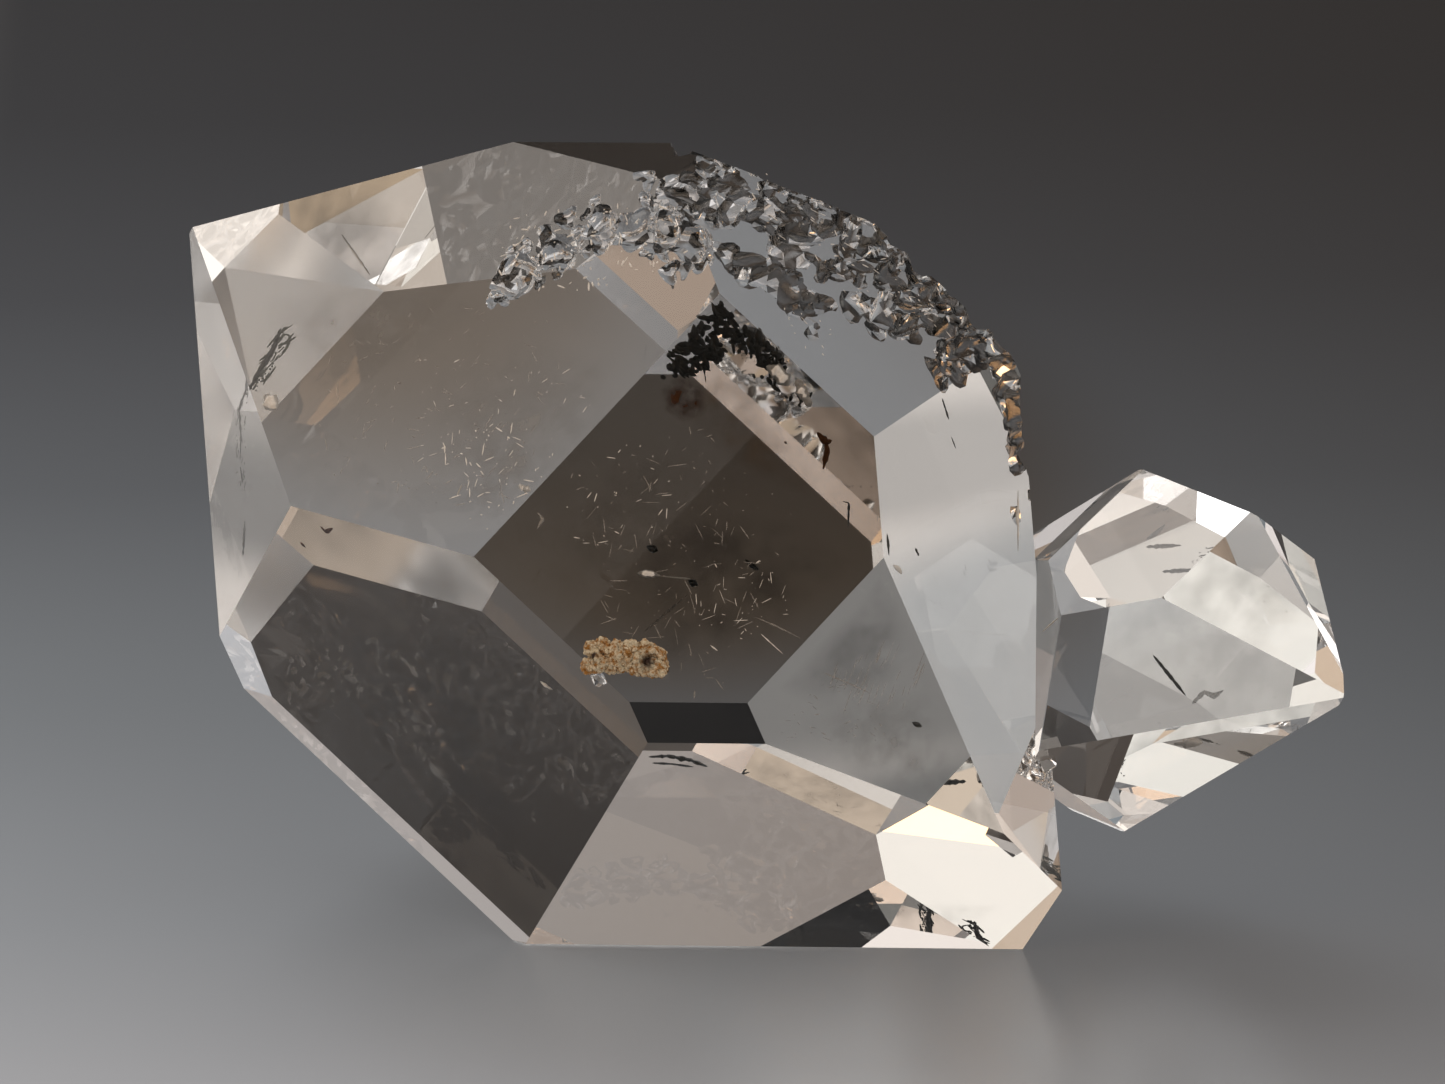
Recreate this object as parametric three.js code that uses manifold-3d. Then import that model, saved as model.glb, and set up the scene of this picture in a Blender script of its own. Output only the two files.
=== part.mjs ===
// Herkimer diamond quartz: one doubly terminated crystal with a smaller one grown through
// its right shoulder, a rough contact zone along the top, and a crumb of matrix on the
// front prism face. Millimetres, +Z up. The specimen lies on one rhombohedral face, and the
// origin is the middle of its footprint box, on the surface it lies on.
import * as THREE from 'three';
import Module from 'manifold-3d';

// Quartz
// Every face stands at a fixed angle to the long (c) axis. A crystal is six sectors of 60
// degrees round that axis, each with a prism face and one pyramid face at either end.
const PYRAMID_TILT = 51.79; // degrees from the c axis to a rhombohedral face's normal
const BEVEL_TILT = 65.56; // the same for the small trapezohedral bevel between two sectors

// The attitude of a crystal is the compass heading of its c axis, how far the axis points
// below the horizon, and the turn of sector 0 round the axis, all in degrees. Each number
// under prism, near and far is the distance from the crystal's middle to one face, by
// sector. near is the end that the axis points to.
const MAIN = {
  heading: -24.6,
  plunge: 90 - PYRAMID_TILT, // so that near face 2 lies flat on the table
  turn: 60,
  prism: [7.14, 6.07, 7.73, 7.14, 6.07, 7.23],
  near: [8.44, 6.99, 8.12, 8.38, 6.67, 7.41],
  far: [6.47, 7.98, 8.68, 8.87, 5.99, 8.02],
  bevels: [8.12], // between sectors 0 and 1, at the near end
};
const SIDE = {
  heading: -41.4,
  plunge: 7.5,
  turn: 84.3,
  middle: [9.39, -1.5, -1.96], // from the middle of the main crystal
  prism: [3.02, 3.21, 4.1, 3.02, 3.21, 2.57],
  near: [2.75, 2.69, 3.25, 3.65, 3.91, 3.32],
  far: [2.01, 3.3, 4.59, 4.12, 3.11, 2.45],
  bevels: [],
};
// A third, tiny crystal sits where the side crystal leaves near face 5 of the main one: so
// far down that face's edge with near face 4, so far in from the edge, and so far out.
const KNOB = { size: 0.18, along: 0.763, aside: 0.31, out: 0.04 };

// Rough contact zone
// Where the specimen grew against the wall of its pocket, the faces stop at a band of
// small pits and stubby parallel growths. The band follows the chain of edges below, and
// each face carries it as far in from that chain as its width says.
const ZONE = {
  seed: 28,
  width: { far5: 9, prism4: 1.5, far4: 2.4, prism5: 1.7, far0: 2.6, near5: 0.7, near4: 1.4 },
  chain: [
    ['far0', 'far5'], ['prism5', 'far5'], ['prism4', 'far5'], ['prism5', 'prism4'],
    ['near5', 'prism4'], ['near4', 'prism4'], ['near5', 'near4'],
  ],
  chainReach: { 'near5,near4': 2.2 }, // how much of a long edge is rough, from its upper end
  spacing: 0.68, // between the middles of neighbouring pits
  pit: [0.45, 0.85], // smallest and largest pit, from its middle to its faces
  pitDepth: [0.22, 0.5], // how far a pit goes in, as a share of its size
  growth: [0.26, 0.5],
  growthShare: 0.26, // the share of places that carry a growth and not a pit
  edgeStep: 0.6, // between the bites along the chain itself
  edgeBite: [0.4, 0.62],
};

// Matrix crumb
const CRUMB = {
  length: 1.68,
  width: 0.7,
  height: 0.3,
  grains: 13,
  grain: [0.13, 0.24],
  gap: 0.02, // between the crumb and the face it sits on
  place: [2.25, -2.36], // on prism face 0, from its middle: along the c axis and across it
  turn: 43, // of its length from the c axis
};

const SMALLEST_EDGE = 0.006; // slivers finer than this are closed up
const GRID = 0.0002; // corners of the finished mesh lie on this grid

const COLOURS = { quartz: '#dcd9d4', crumb: '#b2925f' };

const wasm = await Module();
wasm.setup();
const { Manifold } = wasm;

const rad = THREE.MathUtils.degToRad;
const vec = (x, y, z) => new THREE.Vector3(x, y, z);

// A small repeatable random generator, so that the specimen is the same every time.
function makeRandom(seed) {
  let state = seed >>> 0;
  return () => {
    state = (Math.imul(state, 1664525) + 1013904223) >>> 0;
    return state / 4294967296;
  };
}
const between = (random, [low, high]) => low + (high - low) * random();

// The three axes of a crystal: c, the upward direction square to it, and the third.
function attitude({ heading, plunge, turn }) {
  const [h, p, t] = [rad(heading), rad(plunge), rad(turn)];
  const c = vec(Math.cos(h) * Math.cos(p), Math.sin(h) * Math.cos(p), -Math.sin(p));
  const up = vec(Math.cos(h) * Math.sin(p), Math.sin(h) * Math.sin(p), Math.cos(p));
  const third = c.clone().cross(up);
  const sector = (degrees) => {
    const angle = rad(degrees) + t;
    return up.clone().multiplyScalar(Math.cos(angle)).addScaledVector(third, Math.sin(angle));
  };
  return { c, sector };
}

// The named faces of a crystal as planes: outward normal n and distance d from the origin.
function crystalFaces(crystal, middle) {
  const { c, sector } = attitude(crystal);
  const tilted = (degrees, tilt, end) =>
    sector(degrees).multiplyScalar(Math.sin(rad(tilt)))
      .addScaledVector(c, end * Math.cos(rad(tilt)));
  const faces = {};
  const add = (name, n, reach) => { faces[name] = { n, d: n.dot(middle) + reach }; };
  for (let k = 0; k < 6; k += 1) {
    add(`prism${k}`, sector(60 * k), crystal.prism[k]);
    add(`near${k}`, tilted(60 * k, PYRAMID_TILT, 1), crystal.near[k]);
    add(`far${k}`, tilted(60 * k, PYRAMID_TILT, -1), crystal.far[k]);
  }
  crystal.bevels.forEach((reach, k) => {
    add(`bevel${k}`, tilted(60 * k + 30, BEVEL_TILT, 1), reach);
  });
  return faces;
}

// The point where three planes meet, or null where they don't.
function meet(p, q, r) {
  const qr = q.n.clone().cross(r.n);
  const det = p.n.dot(qr);
  if (Math.abs(det) < 1e-6) return null;
  return qr.multiplyScalar(p.d)
    .addScaledVector(r.n.clone().cross(p.n), q.d)
    .addScaledVector(p.n.clone().cross(q.n), r.d)
    .divideScalar(det);
}

// The corners of the convex body inside a list of planes, and each plane's own corners in
// order round its face.
function convexBody(planes) {
  const corners = [];
  const onPlane = planes.map(() => new Set());
  const count = planes.length;
  for (let i = 0; i < count; i += 1) {
    for (let j = i + 1; j < count; j += 1) {
      for (let k = j + 1; k < count; k += 1) {
        const point = meet(planes[i], planes[j], planes[k]);
        if (!point || planes.some(({ n, d }) => n.dot(point) > d + 1e-6)) continue;
        let index = corners.findIndex((corner) => corner.distanceTo(point) < 1e-5);
        if (index < 0) index = corners.push(point) - 1;
        [i, j, k].forEach((plane) => onPlane[plane].add(index));
      }
    }
  }
  const rings = planes.map(({ n }, plane) => {
    const ring = [...onPlane[plane]];
    if (ring.length < 3) return [];
    const centre = ring.reduce((sum, i) => sum.add(corners[i]), vec(0, 0, 0))
      .divideScalar(ring.length);
    const u = corners[ring[0]].clone().sub(centre).normalize();
    const v = n.clone().cross(u);
    const angle = (i) => {
      const arm = corners[i].clone().sub(centre);
      return Math.atan2(arm.dot(v), arm.dot(u));
    };
    return ring.sort((i, j) => angle(i) - angle(j));
  });
  return { corners, rings };
}

function solidOf({ corners, rings }) {
  const triangles = rings.flatMap((ring) =>
    ring.slice(2).flatMap((corner, i) => [ring[0], ring[i + 1], corner]));
  return new Manifold(new wasm.Mesh({
    numProp: 3,
    vertProperties: new Float32Array(corners.flatMap((corner) => corner.toArray())),
    triVerts: new Uint32Array(triangles),
  }));
}

// A small crystal that stands within a few degrees of the big one, each of its faces at its
// own distance. The pits and growths are such crystals, so their walls flash together.
function parallelGrain(parent, middle, size, random) {
  const some = (least) => Array.from({ length: 6 }, () => size * (least + 0.45 * random()));
  const nearly = (angle) => angle + 6 * (random() - 0.5);
  const grain = {
    heading: nearly(parent.heading), plunge: nearly(parent.plunge), turn: nearly(parent.turn),
    prism: some(1.15), near: some(0.8), far: some(0.8), bevels: [],
  };
  return solidOf(convexBody(Object.values(crystalFaces(grain, middle))));
}

// A lump with random flat sides, for the matrix.
function brokenGrain(middle, size, random) {
  const planes = Array.from({ length: 12 }, (_, i) => {
    const z = 1 - (2 * i + 1) / 12;
    const angle = 2.4 * i + random();
    const ring = Math.sqrt(1 - z * z);
    const n = vec(ring * Math.cos(angle), ring * Math.sin(angle), z);
    return { n, d: n.dot(middle) + size * (0.75 + 0.5 * random()) };
  });
  return solidOf(convexBody(planes));
}

// The main crystal and its rough zone
const mainMiddle = vec(0, 0, MAIN.near[2]);
const mainFaces = crystalFaces(MAIN, mainMiddle);
const faceNames = Object.keys(mainFaces);
const mainBody = convexBody(Object.values(mainFaces));
const mainSolid = solidOf(mainBody);
const ringOf = (name) => mainBody.rings[faceNames.indexOf(name)];

// The two ends of the edge between two faces, upper end first.
function edgeBetween(a, b) {
  const shared = ringOf(a).filter((i) => ringOf(b).includes(i)).map((i) => mainBody.corners[i]);
  return shared.sort((p, q) => q.z - p.z).slice(0, 2);
}

const chain = ZONE.chain.map((pair) => {
  const [from, to] = edgeBetween(...pair);
  if (!to) return null;
  const reach = ZONE.chainReach[pair.join()];
  const end = reach
    ? from.clone().addScaledVector(to.clone().sub(from).normalize(), reach)
    : to;
  return new THREE.Line3(from, end);
}).filter(Boolean);

const fromChain = (point) => Math.min(...chain.map((line) =>
  line.closestPointToPoint(point, true, vec(0, 0, 0)).distanceTo(point)));

// Places spread over a face, no two nearer than the spacing, inside the rough band.
function roughPlaces(name, random, taken) {
  const ring = ringOf(name).map((i) => mainBody.corners[i]);
  const { n } = mainFaces[name];
  const u = ring[1].clone().sub(ring[0]).normalize();
  const v = n.clone().cross(u);
  const flat = ring.map((corner) => {
    const arm = corner.clone().sub(ring[0]);
    return new THREE.Vector2(arm.dot(u), arm.dot(v));
  });
  const box = new THREE.Box2().setFromPoints(flat);
  const places = [];
  for (let tries = 0; tries < 2500; tries += 1) {
    const x = between(random, [box.min.x, box.max.x]);
    const y = between(random, [box.min.y, box.max.y]);
    const inside = flat.every((a, i) => {
      const b = flat[(i + 1) % flat.length];
      return (b.x - a.x) * (y - a.y) - (b.y - a.y) * (x - a.x) > 0;
    });
    if (!inside) continue;
    const point = ring[0].clone().addScaledVector(u, x).addScaledVector(v, y);
    const edgeOfBand = ZONE.width[name] * (0.72 + 0.28 * random());
    if (fromChain(point) > edgeOfBand) continue;
    if (taken.some((other) => other.distanceTo(point) < ZONE.spacing)) continue;
    taken.push(point);
    places.push({ point, n });
  }
  return places;
}

function roughZone() {
  const random = makeRandom(ZONE.seed);
  const taken = [];
  const pits = [];
  const growths = [];
  for (const name of Object.keys(ZONE.width)) {
    for (const { point, n } of roughPlaces(name, random, taken)) {
      if (random() < ZONE.growthShare) {
        const size = between(random, ZONE.growth);
        const middle = point.clone().addScaledVector(n, -0.55 * size);
        growths.push(parallelGrain(MAIN, middle, size, random));
      } else {
        const size = between(random, ZONE.pit);
        const depth = between(random, ZONE.pitDepth) * size;
        const middle = point.clone().addScaledVector(n, size - depth);
        pits.push(parallelGrain(MAIN, middle, size, random));
      }
    }
  }
  for (const line of chain) {
    const steps = Math.max(1, Math.round(line.distance() / ZONE.edgeStep));
    for (let i = 0; i <= steps; i += 1) {
      const middle = line.at(i / steps, vec(0, 0, 0)).add(
        vec(random() - 0.5, random() - 0.5, random() - 0.5).multiplyScalar(0.16));
      pits.push(parallelGrain(MAIN, middle, between(random, ZONE.edgeBite), random));
    }
  }
  return mainSolid.subtract(Manifold.union(pits))
    .add(Manifold.union(growths).intersect(mainSolid));
}

// The crystals that grew through it
const sideMiddle = mainMiddle.clone().add(vec(...SIDE.middle));
const sideFaces = crystalFaces(SIDE, sideMiddle);
const sideSolid = solidOf(convexBody(Object.values(sideFaces)));

function knobSolid() {
  const [top, foot] = edgeBetween('near5', 'near4');
  const { n } = mainFaces.near5;
  const inward = foot.clone().sub(top).normalize().cross(n);
  const middle = top.clone().lerp(foot, KNOB.along)
    .addScaledVector(inward, KNOB.aside).addScaledVector(n, KNOB.out);
  return parallelGrain(SIDE, middle, KNOB.size, makeRandom(7));
}

// The crumb of matrix on the front face
function crumbSolid() {
  const random = makeRandom(11);
  const { c } = attitude(MAIN);
  const { n } = mainFaces.prism0;
  const across = n.clone().cross(c);
  const seat = mainMiddle.clone().addScaledVector(n, MAIN.prism[0] + CRUMB.gap)
    .addScaledVector(c, CRUMB.place[0]).addScaledVector(across, CRUMB.place[1]);
  const turn = rad(CRUMB.turn);
  const long = c.clone().multiplyScalar(Math.cos(turn)).addScaledVector(across, Math.sin(turn));
  const wide = n.clone().cross(long);
  const grains = Array.from({ length: CRUMB.grains }, (_, i) => {
    const along = ((i + 0.5) / CRUMB.grains - 0.5) * (CRUMB.length - 0.3);
    const aside = (random() - 0.5) * (CRUMB.width - 0.25);
    const size = between(random, CRUMB.grain);
    const middle = seat.clone().addScaledVector(long, along).addScaledVector(wide, aside)
      .addScaledVector(n, size * 0.35);
    return brokenGrain(middle, size, random);
  });
  const far = 4;
  const room = solidOf(convexBody([
    { n: n.clone().negate(), d: -n.dot(seat) },
    { n, d: n.dot(seat) + CRUMB.height },
    { n: long, d: long.dot(seat) + far }, { n: long.clone().negate(), d: far - long.dot(seat) },
    { n: wide, d: wide.dot(seat) + far }, { n: wide.clone().negate(), d: far - wide.dot(seat) },
  ]));
  return Manifold.union(grains).intersect(room);
}

// Assembly
// The largest body of a solid as a mesh, with its corners on a fine grid, so that corners
// that all but touch are one and the triangles between them are dropped.
function meshOf(name, solid, material, shift) {
  const [body] = solid.decompose().sort((a, b) => b.volume() - a.volume());
  const { numProp, vertProperties, triVerts } = body.simplify(SMALLEST_EDGE).getMesh();
  const positions = [];
  const numbers = new Map();
  const numberOf = [];
  for (let i = 0; i < vertProperties.length; i += numProp) {
    const corner = [0, 1, 2].map((axis) =>
      Math.round((vertProperties[i + axis] + shift.getComponent(axis)) / GRID) * GRID);
    const key = corner.map((value) => value.toFixed(5)).join();
    if (!numbers.has(key)) {
      numbers.set(key, numbers.size);
      positions.push(...corner);
    }
    numberOf.push(numbers.get(key));
  }
  const index = [];
  for (let i = 0; i < triVerts.length; i += 3) {
    const corners = [0, 1, 2].map((j) => numberOf[triVerts[i + j]]);
    if (new Set(corners).size === 3) index.push(...corners);
  }
  const geometry = new THREE.BufferGeometry();
  geometry.setAttribute('position', new THREE.Float32BufferAttribute(positions, 3));
  geometry.setIndex(index);
  const mesh = new THREE.Mesh(geometry, material);
  mesh.name = name;
  return mesh;
}

const quartzSolid = roughZone().add(sideSolid).add(knobSolid());
const { min, max } = quartzSolid.boundingBox();
const shift = vec(-(min[0] + max[0]) / 2, -(min[1] + max[1]) / 2, -min[2]);

const specimen = new THREE.Group();
specimen.add(meshOf('quartz_crystals', quartzSolid, new THREE.MeshStandardMaterial({
  color: COLOURS.quartz, roughness: 0.03, metalness: 0, transparent: true, opacity: 0.4,
}), shift));
specimen.add(meshOf('matrix_crumb', crumbSolid(), new THREE.MeshStandardMaterial({
  color: COLOURS.crumb, roughness: 0.85, metalness: 0,
}), shift));

export default specimen;
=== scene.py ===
"""The looks of the Herkimer diamond quartz: two clear crystals grown together, with their rough
contact zone, their inclusions and a crumb of tan matrix."""

import logging
from dataclasses import dataclass, field
from enum import Enum
from math import cos, pi, radians, sin, sqrt
from typing import Any, Iterable

import bmesh
import bpy
from bmesh.types import BMEdge, BMesh
from bpy.types import Material, Mesh, Node, NodeSocket, NodeTree, Object
from mathutils import Matrix, Vector, noise


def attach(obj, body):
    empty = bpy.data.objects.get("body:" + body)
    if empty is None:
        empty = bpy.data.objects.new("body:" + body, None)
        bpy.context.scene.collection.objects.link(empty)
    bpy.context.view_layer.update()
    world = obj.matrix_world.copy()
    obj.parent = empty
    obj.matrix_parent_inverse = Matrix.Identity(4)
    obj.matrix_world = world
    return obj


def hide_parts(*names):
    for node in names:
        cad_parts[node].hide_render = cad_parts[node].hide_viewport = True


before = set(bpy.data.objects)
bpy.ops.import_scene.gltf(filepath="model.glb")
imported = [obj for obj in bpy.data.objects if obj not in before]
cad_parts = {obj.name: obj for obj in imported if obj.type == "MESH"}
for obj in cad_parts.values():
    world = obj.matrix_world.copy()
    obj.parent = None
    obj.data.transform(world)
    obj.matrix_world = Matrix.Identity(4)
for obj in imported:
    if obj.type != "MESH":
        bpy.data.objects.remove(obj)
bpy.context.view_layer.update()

log = logging.getLogger("quartz")

Pixel = tuple[float, float]  # column and row in the picture
Path = tuple[Pixel, ...]
Plane = tuple[Vector, Vector]  # its outward normal and a point on it
Links = list[tuple[int, ...]]  # each edge or face by the numbers of its points

MM = 0.001
WHITE = (1, 1, 1, 1)
FULL_TURN = 6.28  # radians
QUARTZ_IOR = 1.544
SAME_CORNER = 1e-7
NEAR_PLANE = 1e-6  # a place this near a face's plane is on it
NOISE = (0.3, 0.7)  # where most of a noise lies
BOUNCES = 24  # for light to find its way through the facets


# Small helpers


def linear(hex_colour: str) -> tuple[float, float, float, float]:
    """Turns an sRGB hex colour into linear RGBA.

    Args:
        hex_colour: Colour such as "#c8b090".

    Returns:
        The linear red, green and blue with an alpha of one.
    """
    parts = [int(hex_colour[i : i + 2], 16) / 255 for i in (1, 3, 5)]
    r, g, b = (c / 12.92 if c <= 0.04045 else ((c + 0.055) / 1.055) ** 2.4 for c in parts)
    return (r, g, b, 1.0)


def show(mesh: Mesh) -> Object:
    """Puts a mesh into the scene as an object of its name.

    Args:
        mesh: The mesh.

    Returns:
        The object.
    """
    made = bpy.data.objects.new(mesh.name, mesh)
    bpy.context.scene.collection.objects.link(made)
    return made


def draw(
    name: str, points: list[Any], edges: Links, faces: Links, domain: str = "POINT",
    **notes: list[float]
) -> Object:
    """Draws an object from points, and has it carry numbers under their names.

    Args:
        name: The object's name.
        points: Its points.
        edges: Its edges.
        faces: Its faces.
        domain: What each number is for, a "POINT" or a "FACE".
        notes: The numbers by name.

    Returns:
        The object.
    """
    mesh = bpy.data.meshes.new(name)
    mesh.from_pydata(points, edges, faces)
    for note, numbers in notes.items():
        mesh.attributes.new(note, "FLOAT", domain).data.foreach_set("value", numbers)
    return show(mesh)


class Tree:
    """A node tree, and the one function that adds to it.

    A socket goes by its name, or by its number where that is shorter or the name isn't its
    own. Map Range has its value, the range that it is in and the one that it goes to as 0 to
    4. A colour Mix has its factor and its colours as 0, 6 and 7, and a Random Value its ends
    as 2 and 3, or as 0 and 1 for a vector.
    """

    FAMILIES = ("ShaderNode",)

    def __init__(self, tree: NodeTree) -> None:
        """Takes a tree over and empties it."""
        self.tree = tree
        tree.nodes.clear()

    def add(self, kind: str, links: dict[Any, Any] | None = None, **settings: Any) -> Node:
        """Adds one node with its settings, values and links.

        Args:
            kind: The node's type name without its family.
            links: Input socket (name or number) to a value, or to the node or output socket
                to link from, or to a list of these. A node gives its first output in use.
            settings: Attributes of the node by name.

        Returns:
            The new node.
        """
        names = [family + kind for family in self.FAMILIES]
        node = self.tree.nodes.new(next(name for name in names if hasattr(bpy.types, name)))
        for name, value in settings.items():
            setattr(node, name, value)
        for socket, sources in (links or {}).items():
            for source in sources if isinstance(sources, list) else [sources]:
                if isinstance(source, Node):
                    source = next(out for out in source.outputs if out.enabled)
                if isinstance(source, NodeSocket):
                    self.tree.links.new(source, node.inputs[socket])
                else:
                    node.inputs[socket].default_value = source
        return node


def new_material(name: str) -> tuple[Material, Tree]:
    """Makes an empty node material.

    Args:
        name: Its name.

    Returns:
        The material and its tree.
    """
    material = bpy.data.materials.new(name)
    material.use_nodes = True
    return material, Tree(material.node_tree)


class ShapeTree(Tree):
    """A Geometry Nodes tree with named inputs, and the piece that comes out of it."""

    FAMILIES = ("GeometryNode", "FunctionNode", "ShaderNode", "Node")
    KINDS = {int: "NodeSocketInt", float: "NodeSocketFloat", Object: "NodeSocketObject"}

    def __init__(self, name: str, sizes: dict[str, Any]) -> None:
        """Starts the tree.

        Args:
            name: The tree's name.
            sizes: The value of each named input. A pair makes two, a least and a most.
        """
        super().__init__(bpy.data.node_groups.new(name, "GeometryNodeTree"))
        self.sizes, pairs = {}, []
        for label, value in sizes.items():
            if isinstance(value, tuple):
                pairs.append(label)
                self.sizes |= {f"Least {label}": value[0], f"Most {label}": value[1]}
            else:
                self.sizes[label] = value
        face = self.tree.interface
        face.new_socket("Geometry", in_out="OUTPUT", socket_type="NodeSocketGeometry")
        face.new_socket("Geometry", in_out="INPUT", socket_type="NodeSocketGeometry")
        self.sockets = {
            label: face.new_socket(label, in_out="INPUT", socket_type=self.KINDS[type(value)])
            for label, value in self.sizes.items()}
        self.given = self.add("GroupInput").outputs
        self.ends = {label: (self.given[f"Least {label}"], self.given[f"Most {label}"])
                     for label in pairs}

    def finish(self, shape: Node, source: Object, piece: str, material: Material) -> Object:
        """Ends the tree, runs it and turns what comes out into a plain mesh.

        Args:
            shape: The node that gives the shape.
            source: The object that goes in, which is removed.
            piece: The name of the piece.
            material: Its material.

        Returns:
            The piece.
        """
        whole = self.add("RealizeInstances", {0: shape})
        self.add("GroupOutput", {0: self.add("SetMaterial", {0: whole, 2: material})})
        modifier = source.modifiers.new(piece, "NODES")
        modifier.node_group = self.tree
        for label, value in self.sizes.items():
            modifier[self.sockets[label].identifier] = value
        depsgraph = bpy.context.evaluated_depsgraph_get()
        mesh = bpy.data.meshes.new_from_object(source.evaluated_get(depsgraph))
        mesh.name = piece
        source.modifiers.remove(modifier)
        bpy.data.objects.remove(source)
        log.info("%s: %d faces", piece, len(mesh.polygons))
        return show(mesh)


# The viewpoint


@dataclass(frozen=True)
class Viewpoint:
    """Where the photograph was taken from, and how its pixels lie on the object."""

    aim: tuple[float, float, float] = (-0.81, -2.57, 8.74)  # mm, in the middle of the picture
    distance: float = 316.3 * MM
    elevation: float = 17.4
    roll: float = -0.98
    px: float = 0.02 * MM  # size of a pixel at the aim
    size_px: tuple[int, int] = (1445, 1084)
    sensor: float = 36.0
    clip: tuple[float, float] = (10 * MM, 5000 * MM)

    def axes(self) -> tuple[Vector, Vector, Vector]:
        """Works out how the camera is turned.

        Returns:
            The picture's right and up, and the way back to the camera.
        """
        e, r = radians(self.elevation), radians(self.roll)
        back = Vector((0, -cos(e), sin(e)))
        lift = Vector((0, sin(e), cos(e)))
        right = Vector((1, 0, 0)) * cos(r) + lift * sin(r)
        return right, back.cross(right), back

    def ray(self, pixel: Pixel) -> tuple[Vector, Vector]:
        """Finds the line of sight through a pixel.

        Args:
            pixel: Column and row in the picture.

        Returns:
            The camera's place and the direction.
        """
        right, up, back = self.axes()
        aim = Vector(self.aim) * MM
        seen = (aim + right * (pixel[0] - self.size_px[0] / 2) * self.px
                - up * (pixel[1] - self.size_px[1] / 2) * self.px)
        camera = aim + back * self.distance
        return camera, (seen - camera).normalized()

    def place(self, pixel: Pixel, plane: Plane, depth: float = 0.0) -> Vector:
        """Finds the place on a plane, or under a face of the quartz, that shows at a pixel.

        Args:
            pixel: Column and row in the picture.
            plane: The plane or the face.
            depth: How far the place is under the face.

        Returns:
            The place, found along the line of sight as the quartz bends it.
        """
        (camera, sight), (normal, point) = self.ray(pixel), plane
        facing = -sight.dot(normal)
        bent = sight / QUARTZ_IOR + normal * (
            facing / QUARTZ_IOR - sqrt(1 - (1 - facing ** 2) / QUARTZ_IOR ** 2))
        surface = camera + sight * ((point - camera).dot(normal) / sight.dot(normal))
        return surface + bent * (depth / -bent.dot(normal))

    def place_camera(self) -> None:
        """Sets the camera there."""
        data = bpy.data.cameras.new("camera")
        data.sensor_width = self.sensor
        data.lens = self.sensor * self.distance / (self.size_px[0] * self.px)
        data.clip_start, data.clip_end = self.clip
        camera = bpy.data.objects.new("camera", data)
        bpy.context.scene.collection.objects.link(camera)
        matrix = Matrix(self.axes()).transposed().to_4x4()
        matrix.translation = Vector(self.aim) * MM + self.axes()[2] * self.distance
        camera.matrix_world = matrix
        bpy.context.scene.camera = camera


VIEW = Viewpoint()


# The finishes


@dataclass(frozen=True)
class ClearQuartz:
    """Natural quartz, colourless and faintly smoky, its faces smooth as grown.

    It is see-through and glossy, and bends light enough for each face to show another
    part of the far side. Most dents of the rough zone and a few plain faces are tinted dark
    with painted shade, which dims what is seen through them and leaves their glints. Some
    back faces are frosted, which softens what they mirror.
    """

    smoke: str = "#efe6da"
    smoke_density: float = 6.0
    # Painted shade: the dark tint of the dents and of some plain faces
    film: str = "#1b1917"
    tinted_roughness: float = 0.06

    def build(self) -> Material:
        """Makes the material.

        Returns:
            The material.
        """
        material, tree = new_material("clear_quartz")
        film, frost = (tree.add("Attribute", attribute_name=name).outputs["Fac"]
                       for name in ("film", "frost"))
        # Painted shade: the tint darkens what is seen through a face
        colour = tree.add("Mix", {0: film, 6: WHITE, 7: linear(self.film)}, data_type="RGBA")
        rough = tree.add("Math", {0: film, 1: self.tinted_roughness, 2: frost},
                         operation="MULTIPLY_ADD")
        surface = tree.add("BsdfPrincipled", {
            "Base Color": colour, "Roughness": rough, "IOR": QUARTZ_IOR,
            "Transmission Weight": 1.0})
        inside = tree.add("VolumeAbsorption", {
            "Color": linear(self.smoke), "Density": self.smoke_density})
        tree.add("OutputMaterial", {"Surface": surface, "Volume": inside})
        return material


@dataclass(frozen=True)
class DolomiteMatrix:
    """Weathered dolomite, iron-stained, granular and dull, with rusty pockets."""

    pale: str = "#d0c4aa"
    tan: str = "#946420"
    rust: str = "#2a1507"
    roughness: float = 0.8
    grain: float = 0.14 * MM
    share: tuple[float, float] = (0.40, 0.58)  # of the noise, tan below and pale above
    relief: float = 0.02 * MM
    relief_strength: float = 0.5
    pockets_px: Path = ((648, 662), (593, 655), (617, 650))
    pocket: tuple[float, float, float] = (0.24 * MM, 0.13 * MM, 0.10 * MM)
    core: float = 0.25  # of a pocket's size, rusty all through
    height: float = 0.26 * MM  # how far the pockets are off the prism face

    def build(self) -> Material:
        """Makes the material.

        Returns:
            The material.
        """
        material, tree = new_material("dolomite_matrix")
        where = tree.add("TexCoord").outputs["Object"]
        grains = tree.add("TexNoise", {
            "Vector": where, "Scale": 1 / self.grain, "Detail": 4.0, "Roughness": 0.7})
        spread = tree.add("MapRange", {0: grains, 1: self.share[0], 2: self.share[1]})
        colour = tree.add("Mix", {0: spread, 6: linear(self.tan), 7: linear(self.pale)},
                          data_type="RGBA")
        normal, point = face_plane(FRONT)
        for pixel, size in zip(self.pockets_px, self.pocket):
            spot = VIEW.place(pixel, (normal, point + normal * self.height))
            near = tree.add("VectorMath", {0: where, 1: spot}, operation="DISTANCE")
            stain = tree.add("MapRange", {0: near, 1: size, 2: size * self.core},
                             interpolation_type="SMOOTHSTEP")
            colour = tree.add("Mix", {0: stain, 6: colour, 7: linear(self.rust)},
                              data_type="RGBA")
        bump = tree.add("Bump", {
            "Strength": self.relief_strength, "Distance": self.relief, "Height": grains})
        surface = tree.add("BsdfPrincipled", {
            "Base Color": colour, "Roughness": self.roughness, "Normal": bump})
        tree.add("OutputMaterial", {"Surface": surface})
        return material


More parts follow.
